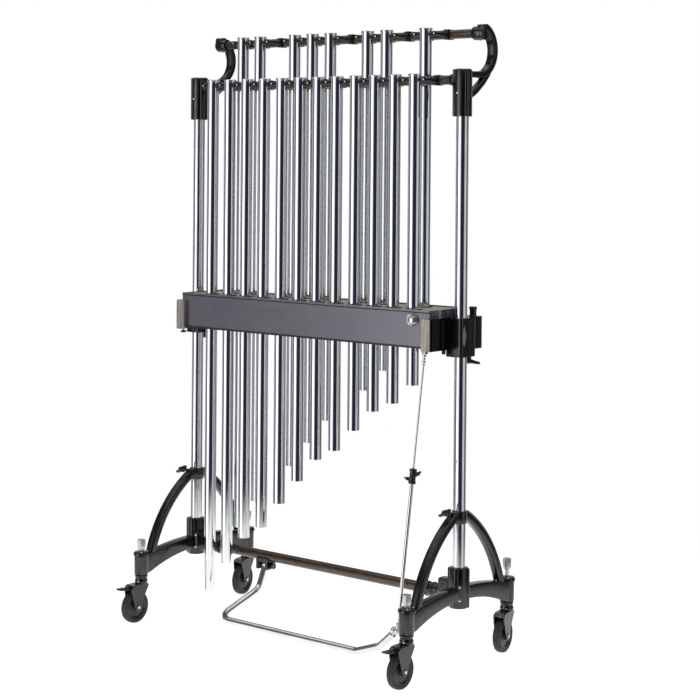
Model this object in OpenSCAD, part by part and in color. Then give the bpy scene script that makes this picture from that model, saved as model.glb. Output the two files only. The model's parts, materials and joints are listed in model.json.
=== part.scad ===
// A two-row set of tubular bells on a wheeled stand, with a pedal damper.
// Millimetres. X runs to the player's right, Y away from the player, Z up, floor at Z = 0.

/* [Tubes] */
// Outside diameter of a tube
tube_d = 38; // [34:0.5:38]
// Wall of a tube
tube_wall = 1.5; // [1:0.1:3]
// Distance between neighbouring tubes in a row
tube_pitch = 76; // [74:1:78]
// Height of the caps of the front row
front_cap_z = 1768; // [1740:1:1790]
// Height of the caps of the rear row
rear_cap_z = 1913; // [1900:1:1940]
// Diameter of a striking cap
cap_d = 42; // [40:0.5:46]
// Length that the tuning rule gives before the end correction
tuning_length = 1766; // [1700:1:1790]
// End correction taken off every tube
end_correction = 88; // [80:1:100]

/* [Frame] */
// Distance between the axes of the two posts
post_span = 1093; // [1080:1:1110]
// Diameter of a post
post_d = 38; // [36:0.5:40]
// Diameter of the rails that carry the tubes
rail_d = 28; // [26:0.5:30]
// Distance from a rail back to its row of tubes
rail_reach = 66.5; // [64:0.5:70]
// Distance from the front row to the rear row
row_gap = 102; // [98:1:104]
// Travel of the height adjustment
height_travel = 100; // [0:10:100]

/* [Stand] */
// Distance from a post to the stem of a caster
stem_reach = 253; // [245:1:260]
// Diameter of a caster wheel
wheel_d = 104; // [98:1:108]
// Width of a caster wheel
wheel_w = 26; // [22:1:28]
// Distance from a caster's stem to its axle
caster_trail = 28; // [24:1:32]
// Turn of the rear casters at rest, in degrees
rear_caster_turn = 10; // [0:1:20]
// Height of the cross tube's axis
cross_z = 218; // [212:1:224]

/* [Damper] */
// Half of the damper box's length
box_half_length = 511; // [505:1:515]
// Height of the damper box's open lower edge
box_bottom_z = 952; // [945:1:960]
// Height of the damper box's top
box_top_z = 1066; // [1060:1:1075]
// Clear distance from a row of tubes to the box's wall
box_clearance = 42; // [38:1:46]
// Diameter of the pedal bar
pedal_d = 22; // [18:1:24]
// Height of the pedal bar's axis above the floor
pedal_z = 57; // [50:1:70]

/* [Hidden] */
$fn = 64;
body_y = 33.5;                 // moves the posts back so that the whole stands centred on the origin
eps = 0.01;
running = 0.05;                // radial clearance of a running fit
gap = 0.3;                     // clearance between pieces that pass each other

post_x = post_span / 2;
post_bottom_z = 182;
front_row_y = -rail_reach;
rear_row_y = front_row_y + row_gap;
front_rail_y = front_row_y + rail_reach;
rear_rail_y = rear_row_y + rail_reach;
rail_drop = 18;                // rail axis below the caps
front_rail_z = front_cap_z - rail_drop;
rear_rail_z = rear_cap_z - rail_drop;
hole_drop = 22;                // cord axis below the caps

NATURAL_STEPS = [0, 2, 4, 5, 7, 9, 11, 12, 14, 16, 17, 19];
SHARP_STEPS = [1, 3, 6, 8, 10, 13, 15, 18];
SHARP_PLACES = [0.5, 1.5, 3.5, 4.5, 5.5, 7.5, 8.5, 10.5];
NATURALS = ["tube_c5", "tube_d5", "tube_e5", "tube_f5", "tube_g5", "tube_a5",
            "tube_b5", "tube_c6", "tube_d6", "tube_e6", "tube_f6", "tube_g6"];
SHARPS = ["tube_c_sharp5", "tube_d_sharp5", "tube_f_sharp5", "tube_g_sharp5",
          "tube_a_sharp5", "tube_c_sharp6", "tube_d_sharp6", "tube_f_sharp6"];
SIDES = ["left", "right"];
CORNERS = ["front_left", "front_right", "rear_left", "rear_right"];

function side_of(name) = name == "left" ? -1 : 1;
function tube_length(step) = tuning_length * pow(2, -step / 24) - end_correction;
function place_x(i) = (i - 5.5) * tube_pitch;

// ---- Shared shapes ----

// Puts a child in the frame of the whole, whose origin is the middle of the floor area.
module placed() { translate([0, body_y, 0]) children(); }

// A disc along X, centred on x = 0
module disc_x(d, w) { rotate([0, 90, 0]) cylinder(d = d, h = w, center = true); }

// An outline drawn in the Y-Z plane and given a width along X
module plate_yz(x, w) {
    translate([x - w / 2, 0, 0]) rotate([90, 0, 90]) linear_extrude(w) children();
}

// A wing screw: a round boss with two wings, its axis along -Y from the origin
module wing_screw(span, boss_d, stem) {
    rotate([90, 0, 0]) {
        cylinder(d = boss_d * 0.5, h = stem + 1);
        translate([0, 0, stem]) cylinder(d1 = boss_d, d2 = boss_d * 0.75, h = boss_d);
        translate([0, 0, stem + boss_d * 0.7]) rotate([0, 0, 35])
            difference() {
                union() {
                    cube([span, boss_d * 0.4, boss_d * 0.9], center = true);
                    for (s = [-1, 1]) translate([s * span / 2, 0, 0])
                        rotate([90, 0, 0]) cylinder(d = boss_d * 0.9, h = boss_d * 0.4, center = true);
                }
                cylinder(d = boss_d * 0.5, h = boss_d * 2, center = true);
            }
    }
}

// ---- Tubes ----

cap_h = 6;
plug_h = 16;
cord_d = 3;
cord_hole_d = 6;

// A hanging tube with its striking cap pressed into the upper end
module tube(x, y, top_z, length) {
    inner_d = tube_d - 2 * tube_wall;
    color("silver") placed() translate([x, y, top_z]) {
        difference() {
            translate([0, 0, -length]) cylinder(d = tube_d, h = length - cap_h);
            translate([0, 0, -length - 1]) cylinder(d = inner_d, h = length + 2);
            translate([0, 0, -hole_drop - cap_h]) disc_x(cord_hole_d, tube_d + 2);
        }
        difference() {
            union() {
                translate([0, 0, -cap_h + 1.5]) cylinder(d = cap_d, h = cap_h - 3);
                translate([0, 0, -1.5]) cylinder(d1 = cap_d, d2 = cap_d - 3, h = 1.5);
                translate([0, 0, -cap_h]) cylinder(d1 = cap_d - 3, d2 = cap_d, h = 1.5);
                translate([0, 0, -cap_h - plug_h]) cylinder(d = inner_d - 2 * running, h = plug_h + 1);
            }
            translate([0, 0, -cap_h - plug_h - 1]) cylinder(d = inner_d - 6, h = plug_h);
        }
    }
}

module natural_tube(i) {
    tube(place_x(i), front_row_y, front_cap_z, tube_length(NATURAL_STEPS[i]));
}

module sharp_tube(i) {
    tube(place_x(SHARP_PLACES[i]), rear_row_y, rear_cap_z, tube_length(SHARP_STEPS[i]));
}

// ---- Stand ----

beam_w = 36;
beam_top_z = 242;
beam_top_r = 1056;
beam_under_z = 203;
beam_under_r = 600;
stem_d = 46;
stem_bottom_z = 151;
stem_top_z = 214;
socket_d = 57;
socket_top_z = 300;
socket_bottom_z = 180;
caster_pin_d = 16;

// Arched beam with the post's socket in the middle and a caster's stem at each end
module base_beam(side) {
    color("dimgray") placed() translate([side * post_x, 0, 0]) difference() {
        union() {
            plate_yz(0, beam_w) difference() {
                intersection() {
                    translate([0, beam_top_z - beam_top_r]) circle(r = beam_top_r, $fn = 360);
                    translate([-stem_reach, stem_bottom_z + 2]) square([2 * stem_reach, 200]);
                }
                translate([0, beam_under_z - beam_under_r]) circle(r = beam_under_r, $fn = 360);
            }
            for (s = [-1, 1]) translate([0, s * stem_reach, stem_bottom_z])
                cylinder(d = stem_d, h = stem_top_z - stem_bottom_z);
            translate([0, 0, socket_bottom_z]) cylinder(d = socket_d, h = socket_top_z - socket_bottom_z);
        }
        translate([0, 0, socket_bottom_z - 1]) cylinder(d = post_d + 2 * running, h = 200);
        for (s = [-1, 1]) translate([0, s * stem_reach, 0]) {
            translate([0, 0, stem_bottom_z - 1]) cylinder(d = caster_pin_d + 2 * running, h = 42);
            translate([0, 0, stem_top_z]) cylinder(d = flange_d + 2 * running, h = 30);
        }
    }
}

brace_w = 30;
brace_outer_r = 412;
brace_thick = 27;
brace_centre = [-172, 106];
collar_d = 46;
collar_bottom_z = 430;
collar_top_z = 468;
knob_z = 459;
knob_boss_d = 16;
knob_screw_d = knob_boss_d / 2;
knob_reach = 42;               // holds the wings clear of the leg

// Pointed arch of two curved legs that rise from the stems to the collar around the post
module brace(side) {
    color("dimgray") placed() translate([side * post_x, 0, 0]) difference() {
        union() {
            for (s = [-1, 1]) mirror([0, s < 0 ? 1 : 0, 0]) plate_yz(0, brace_w) difference() {
                intersection() {
                    translate(brace_centre) circle(r = brace_outer_r, $fn = 360);
                    translate([10, 200]) square([240, collar_top_z - 203]);
                }
                translate(brace_centre) circle(r = brace_outer_r - brace_thick, $fn = 360);
                translate([0, beam_top_z - beam_top_r]) circle(r = beam_top_r, $fn = 360);
            }
            translate([0, 0, collar_bottom_z]) cylinder(d = collar_d, h = collar_top_z - collar_bottom_z);
        }
        translate([0, 0, collar_bottom_z - 20]) cylinder(d = post_d + 2 * running, h = 80);
        for (s = [-1, 1]) translate([0, s * stem_reach, stem_top_z - 1])
            cylinder(d = flange_d + 4 * running, h = 30);
        translate([0, -collar_d / 2, knob_z]) rotate([90, 0, 0])
            cylinder(d = knob_screw_d + 2 * running, h = 60, center = true);
    }
}

cross_d = 32;
cross_end_x = 486;
bracket_inner_x = 430;

module cross_tube() {
    color("saddlebrown") placed() translate([0, 0, cross_z]) difference() {
        disc_x(cross_d, 2 * cross_end_x);
        disc_x(cross_d - 4, 2 * cross_end_x + 2);
    }
}

// Two castings that bolt the cross tube's ends to the sockets
module cross_brackets() {
    color("dimgray") for (side = [-1, 1]) placed() difference() {
        union() {
            translate([side * (bracket_inner_x + cross_end_x + 6) / 2, 0, cross_z])
                disc_x(cross_d + 14, cross_end_x + 6 - bracket_inner_x);
            translate([side * (cross_end_x + post_x - socket_d / 2 + 6) / 2, 0, cross_z + 12])
                cube([post_x - socket_d / 2 - cross_end_x + 6, 40, 70], center = true);
        }
        translate([side * (bracket_inner_x + cross_end_x) / 2, 0, cross_z])
            disc_x(cross_d, cross_end_x - bracket_inner_x + 2 * eps);
        translate([side * post_x, 0, cross_z - 60]) cylinder(d = socket_d, h = 140);
    }
}

flange_d = 52;
flange_h = 14;
knob_d = 26;
knob_h = 34;
front_knob_lift = 4;
rear_knob_lift = 22;

// Flange cap and levelling knob on the top of each stem
module stem_caps() {
    color("lightgray") for (side = [-1, 1], s = [-1, 1]) {
        lift = s < 0 ? front_knob_lift : rear_knob_lift;
        placed() translate([side * post_x, s * stem_reach, stem_top_z]) {
            cylinder(d = flange_d, h = flange_h);
            translate([0, 0, flange_h - eps]) cylinder(d = 12, h = lift + 2);
            translate([0, 0, flange_h + lift]) difference() {
                cylinder(d = knob_d, h = knob_h);
                for (a = [0 : 30 : 330]) rotate([0, 0, a]) translate([knob_d / 2 + 1, 0, -1])
                    cylinder(d = 5, h = knob_h + 2);
            }
        }
    }
}

// Wing screws that clamp the collars on the posts, through the front legs
module collar_knobs() {
    color("black") for (side = [-1, 1]) placed()
        translate([side * post_x, -collar_d / 2, knob_z]) wing_screw(42, knob_boss_d, knob_reach);
}

pedal_x = -229;
pivot_y = 0;
pivot_z = cross_z - cross_d / 2 - 14;
pivot_pin_d = 10;

// Saddle under the cross tube that carries the pedal's pin and its knob
module pedal_hinge() {
    color("dimgray") placed() {
        difference() {
            translate([pedal_x - 24, -20, cross_z - cross_d / 2 - 26]) cube([48, 40, 36]);
            translate([pedal_x, 0, cross_z]) disc_x(cross_d, 60);
            translate([pedal_x - 14, -21, cross_z - cross_d / 2 - 27]) cube([28, 42, 24.6]);
        }
        translate([pedal_x, pivot_y, pivot_z]) disc_x(pivot_pin_d, 52);
        translate([pedal_x + 31, pivot_y, pivot_z]) disc_x(20, 12);
    }
}

// ---- Casters ----

axle_d = 10;
axle_z = wheel_d / 2;
neck_d = 42;
neck_bottom_z = 112;
fork_gap = wheel_w + 4;
fork_plate = 4;

// Carries a child drawn around a stem whose wheel trails along -Y
module at_corner(name) {
    front = name == "front_left" || name == "front_right";
    left = name == "front_left" || name == "rear_left";
    placed() translate([(left ? -1 : 1) * post_x, (front ? -1 : 1) * stem_reach, 0])
        rotate([0, 0, front ? 0 : rear_caster_turn]) children();
}

module caster_fork(name) {
    color("black") at_corner(name) difference() {
        union() {
            translate([0, 0, neck_bottom_z]) cylinder(d = neck_d, h = stem_bottom_z - gap - neck_bottom_z);
            translate([0, 0, stem_bottom_z - 1]) cylinder(d = caster_pin_d, h = 38);
            difference() {
                plate_yz(0, fork_gap + 2 * fork_plate) union() {
                    polygon([[neck_d / 2 - 4, neck_bottom_z + 12], [-caster_trail - 34, neck_bottom_z + 12],
                             [-caster_trail - 40, neck_bottom_z - 4], [-caster_trail - 14, axle_z],
                             [-caster_trail + 14, axle_z]]);
                    translate([-caster_trail, axle_z]) circle(d = 28);
                }
                plate_yz(0, fork_gap) union() {
                    translate([-caster_trail, axle_z]) circle(d = wheel_d + 9);
                    translate([-200, 0]) square([400, axle_z]);
                    translate([-200, axle_z]) square([200 - caster_trail - 12, wheel_d]);
                }
            }
        }
        translate([0, -caster_trail, axle_z]) disc_x(axle_d + 2 * running, 100);
    }
}

module caster_wheel(name) {
    color("darkslategray") at_corner(name) translate([0, -caster_trail, axle_z]) {
        rotate([0, 90, 0]) rotate_extrude() polygon([
            [axle_d, -wheel_w / 2 + 2], [axle_d, wheel_w / 2 - 2], [wheel_d / 2 - 12, wheel_w / 2 - 2],
            [wheel_d / 2 - 9, wheel_w / 2], [wheel_d / 2 - 4, wheel_w / 2], [wheel_d / 2, wheel_w / 2 - 5],
            [wheel_d / 2, 5 - wheel_w / 2], [wheel_d / 2 - 4, -wheel_w / 2], [wheel_d / 2 - 9, -wheel_w / 2],
            [wheel_d / 2 - 12, 2 - wheel_w / 2]]);
        disc_x(2 * axle_d + 2 * eps, wheel_w);
        disc_x(axle_d, fork_gap + 2 * fork_plate + 6);
    }
}

lever_pivot_z = 112;
lever_pivot_y = -caster_trail - 24;

// Foot lever that presses a brake shoe on a front wheel
module brake_lever(name) {
    color("black") at_corner(name) {
        plate_yz(0, 24) polygon([
            [lever_pivot_y + 6, lever_pivot_z + 3], [lever_pivot_y - 14, lever_pivot_z + 3],
            [lever_pivot_y - 47, lever_pivot_z + 9], [lever_pivot_y - 50, lever_pivot_z + 2],
            [lever_pivot_y - 16, lever_pivot_z - 6], [lever_pivot_y + 6, lever_pivot_z - 3]]);
        translate([0, lever_pivot_y, lever_pivot_z]) disc_x(7, fork_gap - 2 * gap);
    }
}

// ---- Upper frame ----

sleeve_d = 57;
sleeve_bottom_z = 1640;
sleeve_top_z = 1782;

module post(side) {
    color("silver") placed() translate([side * post_x, 0, post_bottom_z])
        difference() {
            cylinder(d = post_d, h = sleeve_top_z - 6 - post_bottom_z);
            translate([0, 0, -1]) cylinder(d = post_d - 5, h = sleeve_top_z);
        }
}

arm_w = 28;
arm_thick = 22;
arm_centre = [78, 1843];
arm_r = 86;
boss_d = 42;
boss_l = 44;

// Post sleeve with the socket of the front rail and the hooked arm that holds the rear rail
module head(side) {
    color("dimgray") placed() translate([side * post_x, 0, 0]) difference() {
        union() {
            translate([0, 0, sleeve_bottom_z]) cylinder(d = sleeve_d, h = sleeve_top_z - sleeve_bottom_z);
            translate([-side * 20, 0, front_rail_z]) disc_x(boss_d - 6, 40);
            plate_yz(0, arm_w) {
                intersection() {
                    translate(arm_centre) difference() {
                        circle(r = arm_r);
                        circle(r = arm_r - arm_thick);
                    }
                    translate(arm_centre - [0, 100]) square([200, 200]);
                }
                translate([8, arm_centre[1] - arm_r]) square([arm_centre[0] - 8 + eps, arm_thick]);
                polygon([[20, 1684], [112, 1744], [153, 1800], [134, 1812], [20, 1712]]);
            }
            translate([-side * 10, rear_rail_y, rear_rail_z]) disc_x(boss_d, boss_l);
        }
        translate([0, 0, sleeve_bottom_z - 1]) cylinder(d = post_d + 2 * running, h = 137);
        translate([-side * 60, 0, front_rail_z]) disc_x(rail_d + 2 * running, 80);
        translate([-side * 40, rear_rail_y, rear_rail_z]) disc_x(rail_d + 2 * running, 80);
    }
}

rail_end_gap = 21;             // the front rail stops this far from the post's axis

module front_rail() {
    color("saddlebrown") placed() translate([0, front_rail_y, front_rail_z])
        disc_x(rail_d, post_span - 2 * rail_end_gap);
}

module rear_rail() {
    color("saddlebrown") placed() translate([0, rear_rail_y, rear_rail_z]) disc_x(rail_d, post_span - 2);
}

peg_d = 10;
peg_head_d = 15;
peg_ring_d = 34;
peg_back = 1;                  // metal behind the rail, where the rear row hangs close

// One hanger: a ring on the rail and a prong that reaches forward to the row
module peg(x, rail_y, z) {
    translate([x, rail_y, z]) {
        difference() {
            disc_x(peg_ring_d, 16);
            disc_x(rail_d + 2 * running, 20);
            translate([0, (rail_d + peg_ring_d) / 2 + peg_back, 0]) cube(peg_ring_d, center = true);
        }
        rotate([90, 0, 0]) difference() {
            union() {
                cylinder(d = peg_d, h = rail_reach + 10);
                translate([0, 0, rail_reach + 6]) cylinder(d = peg_head_d, h = 5);
                cylinder(d = 20, h = 34);
            }
            translate([0, 0, -1]) cylinder(d = 30, h = 16);
        }
    }
}

module tube_pegs() {
    color("black") placed() {
        for (k = [0 : 12]) peg(place_x(k - 0.5), front_rail_y, front_rail_z);
        for (k = [0 : 11]) peg(place_x(k), rear_rail_y, rear_rail_z);
    }
}

// A cord from one prong through a tube's holes to the next prong
module cord(x, y, cap_z) {
    hole_z = cap_z - cap_h - hole_drop;
    straight = tube_d / 2 + 4;
    rise = [tube_pitch / 2 - peg_d / 2 - straight, cap_z - rail_drop - hole_z];
    translate([x, y, hole_z]) {
        disc_x(cord_d, 2 * straight);
        for (s = [-1, 1]) translate([s * straight, 0, 0]) {
            sphere(d = cord_d);
            rotate([0, s * atan2(rise[0], rise[1]), 0]) cylinder(d = cord_d, h = norm(rise));
        }
    }
}

module hanging_cords() {
    color("dimgray") placed() {
        for (i = [0 : 11]) cord(place_x(i), front_row_y, front_cap_z);
        for (i = [0 : 7]) cord(place_x(SHARP_PLACES[i]), rear_row_y, rear_cap_z);
    }
}

// ---- Damper box ----

box_wall = 3;
box_front_y = front_row_y - box_clearance;
box_rear_y = rear_row_y + box_clearance;
lip_h = 5;
lip_out = 2;
rod_x = 488;
crank_pivot = [-20.6, 972.4];
crank_pin = [-95.5, 968];
crank_shaft_d = 10;

// A block between two corners
module block(a, b) { translate(a) cube(b - a); }

// Open shell around both rows, with a lip along its upper and lower edges
module damper_box() {
    color("slategray") placed() difference() {
        union() {
            block([-box_half_length, box_front_y, box_bottom_z], [box_half_length, box_rear_y, box_top_z]);
            for (z = [box_bottom_z, box_top_z - lip_h])
                block([-box_half_length, box_front_y - lip_out, z],
                      [box_half_length, box_rear_y + lip_out, z + lip_h]);
        }
        block([box_wall - box_half_length, box_front_y + box_wall, box_bottom_z - 1],
              [box_half_length - box_wall, box_rear_y - box_wall, box_top_z + 1]);
        translate([box_half_length, crank_pivot[0], crank_pivot[1]])
            disc_x(crank_shaft_d + 2 * running, 20);
    }
}

tray_hole_d = tube_d + 16;
tray_z = box_top_z - 8;

// Plate in the top of the box with a hole around every tube
module damper_tray() {
    color("gray") placed() difference() {
        block([box_wall - box_half_length + gap, box_front_y + box_wall + gap, tray_z],
              [box_half_length - box_wall - gap, box_rear_y - box_wall - gap, tray_z + 4]);
        for (i = [0 : 11]) translate([place_x(i), front_row_y, tray_z - 1])
            cylinder(d = tray_hole_d, h = 6);
        for (i = [0 : 7]) translate([place_x(SHARP_PLACES[i]), rear_row_y, tray_z - 1])
            cylinder(d = tray_hole_d, h = 6);
    }
}

clamp_r = 10;
clamp_bottom_z = 926;
bracket_top_z = 1042;
bracket_bottom_z = 946;

// A block with its four upright edges rounded
module round_block(a, b, r) {
    block(a + [r, 0, 0], b - [r, 0, 0]);
    block(a + [0, r, 0], b - [0, r, 0]);
    for (x = [a[0] + r, b[0] - r], y = [a[1] + r, b[1] - r])
        translate([x, y, a[2]]) cylinder(r = r, h = b[2] - a[2]);
}

// Clamp around a post with the plate and front flange that carry the box's end
module damper_bracket(side) {
    inner_x = box_half_length + gap;
    plate_x = inner_x + 12;
    flange_y = box_front_y - lip_out - gap;
    flange_front_y = flange_y - 14;
    color("black") placed() mirror([side < 0 ? 1 : 0, 0, 0]) {
        difference() {
            union() {
                block([inner_x, flange_front_y, bracket_bottom_z], [plate_x, box_rear_y, bracket_top_z]);
                block([box_half_length - 20, flange_front_y, bracket_bottom_z],
                      [plate_x, flange_y, bracket_top_z]);
                round_block([inner_x, -32, clamp_bottom_z], [post_x + 28, 44, bracket_top_z], clamp_r);
                round_block([post_x - 16, 30, bracket_bottom_z], [post_x + 14, 94, bracket_top_z], 4);
                translate([post_x, 62, bracket_top_z - eps]) cylinder(d = 24, h = 30);
            }
            translate([post_x, 0, clamp_bottom_z - 1]) cylinder(d = post_d + 2 * running, h = 130);
            translate([inner_x, crank_pivot[0], crank_pivot[1]]) disc_x(crank_shaft_d + 2, 20);
        }
        translate([post_x + 4, 34, clamp_bottom_z - 16]) cylinder(d = 12, h = 16 - eps);
        round_block([post_x - 4, 24, clamp_bottom_z - 26], [post_x + 12, 96, clamp_bottom_z - 16], 5);
        translate([inner_x + 6, -46, bracket_bottom_z - 12]) cylinder(d = 12, h = 12 - eps);
    }
}

bolt_x = 450;
bolt_z = 1036;

// Large washer and domed bolt on the front of the box
module box_bolts() {
    color("silver") placed() translate([bolt_x, box_front_y, bolt_z]) rotate([90, 0, 0]) {
        cylinder(d = 44, h = 4);
        translate([0, 0, 4 - eps]) cylinder(d = 22, h = 8);
        translate([0, 0, 12 - 2 * eps]) cylinder(d1 = 22, d2 = 14, h = 4);
    }
}

felt_t = 8;
felt_gap = 1.5;                // from the felt to the tubes while the pedal is up
bar_t = 3;
bar_half_length = 440;
bar_z = [985, 1035];

// A metal bar with a strip of felt on the side that faces the tubes
module damper_bar(row_y, out) {
    felt_y = row_y + out * (tube_d / 2 + felt_gap);
    back_y = felt_y + out * felt_t;
    color("firebrick") placed() {
        block([-bar_half_length, min(felt_y, back_y), bar_z[0]],
              [bar_half_length, max(felt_y, back_y), bar_z[1]]);
        block([-bar_half_length, min(back_y, back_y + out * bar_t), bar_z[0] - 4],
              [bar_half_length, max(back_y, back_y + out * bar_t), bar_z[1] + 4]);
    }
}

module front_damper_bar() { damper_bar(front_row_y, -1); }
module rear_damper_bar() { damper_bar(rear_row_y, 1); }

crank_t = 6;
pin_d = 5;
eye_clearance = 2.3;

crank_run = crank_pin - crank_pivot;
crank_side = 6 * [-crank_run[1], crank_run[0]] / norm(crank_run);

// Lever in the end of the box that the pull rod turns
module damper_crank() {
    color("gray") placed() {
        difference() {
            union() {
                plate_yz(rod_x, crank_t) polygon([crank_pivot + crank_side, crank_pin + crank_side,
                                                  crank_pin - crank_side, crank_pivot - crank_side]);
                for (p = [crank_pivot, crank_pin]) translate([rod_x, p[0], p[1]]) disc_x(18, crank_t);
            }
            translate([rod_x, crank_pin[0], crank_pin[1]]) disc_x(pin_d + 2 * eye_clearance, crank_t + 2);
        }
        translate([(rod_x - 6 + box_half_length + 6) / 2, crank_pivot[0], crank_pivot[1]])
            disc_x(crank_shaft_d, box_half_length + 12 - rod_x);
    }
}

// ---- Pull rod and pedal ----

rod_foot = [-219.7, 142];      // the pin that joins the pull rod to the pedal
rod_run = crank_pin - rod_foot;
rod_lean = atan2(rod_run[0], rod_run[1]);
upper_rod_d = 6;
lower_rod_d = 11;
lock_bottom = 424;             // distances up the rod from its foot
lock_top = 468;
rod_overlap = height_travel + 60;
clevis_l = 74;
rod_start = 10.3;              // clears the shoulder of the pin

// Draws along the rod's own axis, with its foot at the origin
module on_rod() {
    placed() translate([rod_x, rod_foot[0], rod_foot[1]]) rotate([-rod_lean, 0, 0]) children();
}

module upper_rod() {
    reach = norm(rod_run);
    foot = lock_bottom - rod_overlap + 20;
    color("silver") on_rod() {
        translate([0, 0, foot]) cylinder(d = upper_rod_d, h = reach - clevis_l + 10 - foot);
        difference() {
            translate([-9, -6, reach - clevis_l + 8]) cube([18, 12, clevis_l]);
            translate([-4, -7, reach - 40]) cube([8, 14, 60]);
        }
        translate([0, 0, reach]) disc_x(pin_d, 18);
    }
}

module lower_rod() {
    color("silver") on_rod() {
        difference() {
            union() {
                translate([0, 0, rod_start]) cylinder(d = lower_rod_d, h = lock_top - 2 - rod_start);
                disc_x(22, 7.4);
            }
            disc_x(8 + 2 * running, 20);
            translate([0, 0, lock_bottom - rod_overlap]) cylinder(d = upper_rod_d + 2 * running, h = 300);
        }
    }
}

// Collar with two wing screws that fix the rod's length
module rod_lock() {
    color("black") on_rod() difference() {
        union() {
            translate([0, 0, lock_bottom]) cylinder(d = 22, h = lock_top - lock_bottom);
            for (s = [-1, 1]) translate([s * 9, 0, (lock_bottom + lock_top) / 2 + s * 9])
                rotate([0, 0, s * 90]) wing_screw(24, 10, 6);
        }
        translate([0, 0, lock_bottom - 1]) cylinder(d = lower_rod_d + 2 * running, h = lock_top - lock_bottom - 1);
        translate([0, 0, lock_bottom]) cylinder(d = upper_rod_d + 2 * running, h = 60);
    }
}

// Pin through the pedal's eye and the rod's eye, with a shoulder between them and a head
module pedal_clamp() {
    color("silver") placed() translate([rod_x, rod_foot[0], rod_foot[1]]) {
        translate([-5, 0, 0]) disc_x(8, 26);
        translate([-6, 0, 0]) disc_x(20, 3.4);
        translate([6.5, 0, 0]) disc_x(16, 5);
    }
}

eye_x = rod_x - 12.2;
// The pedal's axis, from its pivot to the foot of the pull rod
PEDAL_PATH = [
    [pedal_x, pivot_y - 4, pivot_z - 10], [pedal_x, -34, 114], [pedal_x, rod_foot[0], pedal_z],
    [336, rod_foot[0], pedal_z],
    [424, rod_foot[0], pedal_z + 31], [eye_x - 4, rod_foot[0], pedal_z + 71]];

// A round bar from one point to the next
module bar(a, b, d) {
    run = b - a;
    translate(a) rotate([0, acos(run[2] / norm(run)), atan2(run[1], run[0])]) cylinder(d = d, h = norm(run));
}

module pedal() {
    last = len(PEDAL_PATH) - 1;
    color("silver") placed() {
        difference() {
            union() {
                for (i = [1 : last]) {
                    bar(PEDAL_PATH[i - 1], PEDAL_PATH[i], pedal_d);
                    if (i < last) translate(PEDAL_PATH[i]) sphere(d = pedal_d + 1);
                }
                translate([pedal_x, pivot_y, pivot_z]) disc_x(22, 24);
                translate([eye_x, rod_foot[0], rod_foot[1]]) disc_x(24, 8);
                translate([eye_x, rod_foot[0], rod_foot[1] - 15]) cube([8, 20, 30], center = true);
            }
            translate([pedal_x, pivot_y, pivot_z]) disc_x(pivot_pin_d + 2 * running, 60);
            translate([eye_x, rod_foot[0], rod_foot[1]]) disc_x(8 + 2 * running, 20);
        }
    }
}

for (i = [0 : 11]) natural_tube(i);
for (i = [0 : 7]) sharp_tube(i);
for (s = SIDES) {
    base_beam(side_of(s));
    brace(side_of(s));
    post(side_of(s));
    head(side_of(s));
    damper_bracket(side_of(s));
    brake_lever(str("front_", s));
}
for (c = CORNERS) {
    caster_fork(c);
    caster_wheel(c);
}
cross_tube();
cross_brackets();
stem_caps();
collar_knobs();
pedal_hinge();
front_rail();
rear_rail();
tube_pegs();
hanging_cords();
damper_box();
damper_tray();
box_bolts();
front_damper_bar();
rear_damper_bar();
damper_crank();
upper_rod();
rod_lock();
lower_rod();
pedal_clamp();
pedal();
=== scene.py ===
import json
from math import asin, cos, degrees, pi, radians, sin, sqrt, tan
import bmesh
import bpy
from mathutils import Matrix, Vector


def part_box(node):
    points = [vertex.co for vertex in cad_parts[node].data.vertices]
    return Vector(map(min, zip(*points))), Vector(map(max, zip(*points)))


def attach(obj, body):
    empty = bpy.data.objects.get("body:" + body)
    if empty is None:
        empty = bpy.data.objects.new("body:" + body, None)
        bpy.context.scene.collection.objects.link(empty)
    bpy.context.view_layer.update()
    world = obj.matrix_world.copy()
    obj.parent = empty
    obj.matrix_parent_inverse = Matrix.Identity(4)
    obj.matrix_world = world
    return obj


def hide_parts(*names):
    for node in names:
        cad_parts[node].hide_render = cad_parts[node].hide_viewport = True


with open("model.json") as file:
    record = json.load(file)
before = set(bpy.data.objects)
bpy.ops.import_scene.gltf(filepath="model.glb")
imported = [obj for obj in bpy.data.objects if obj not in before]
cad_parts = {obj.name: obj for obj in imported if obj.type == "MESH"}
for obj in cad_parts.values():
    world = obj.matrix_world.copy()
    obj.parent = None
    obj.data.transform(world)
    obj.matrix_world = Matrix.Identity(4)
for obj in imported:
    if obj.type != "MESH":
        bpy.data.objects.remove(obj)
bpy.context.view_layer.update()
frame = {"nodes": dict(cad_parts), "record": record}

# Shapes are drawn in millimetres. X runs to the player's right, Y away from the player
# and Z up; y = 0 is the plane of the two posts.
MM = 0.001
POST_LO, POST_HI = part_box("post_right")
POST_Y = (POST_LO.y + POST_HI.y) / 2
POST_X = (POST_LO.x + POST_HI.x) / 2 / MM
POST_R = (POST_HI.x - POST_LO.x) / 2 / MM
PLACE = Matrix.Translation((0, POST_Y, 0)) @ Matrix.Scale(MM, 4)
SIDES = {"left": -1, "right": 1}
CORNERS = {"front_left": (-1, -1), "front_right": (1, -1), "rear_left": (-1, 1), "rear_right": (1, 1)}
ACROSS = Vector((1, 0, 0))
VIEW_TURN = radians(39.56)     # the camera's place around the object, from straight in front


def local(node):
    """Lowest and highest corner of a CAD node in millimetres, with y measured from the posts."""
    lo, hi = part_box(node)
    shift = Vector((0, POST_Y, 0))
    return (lo - shift) / MM, (hi - shift) / MM


def centre_of(node):
    """Middle of a CAD node's box in millimetres."""
    lo, hi = local(node)
    return (lo + hi) / 2


# ---- Camera, light and floor ----

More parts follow.
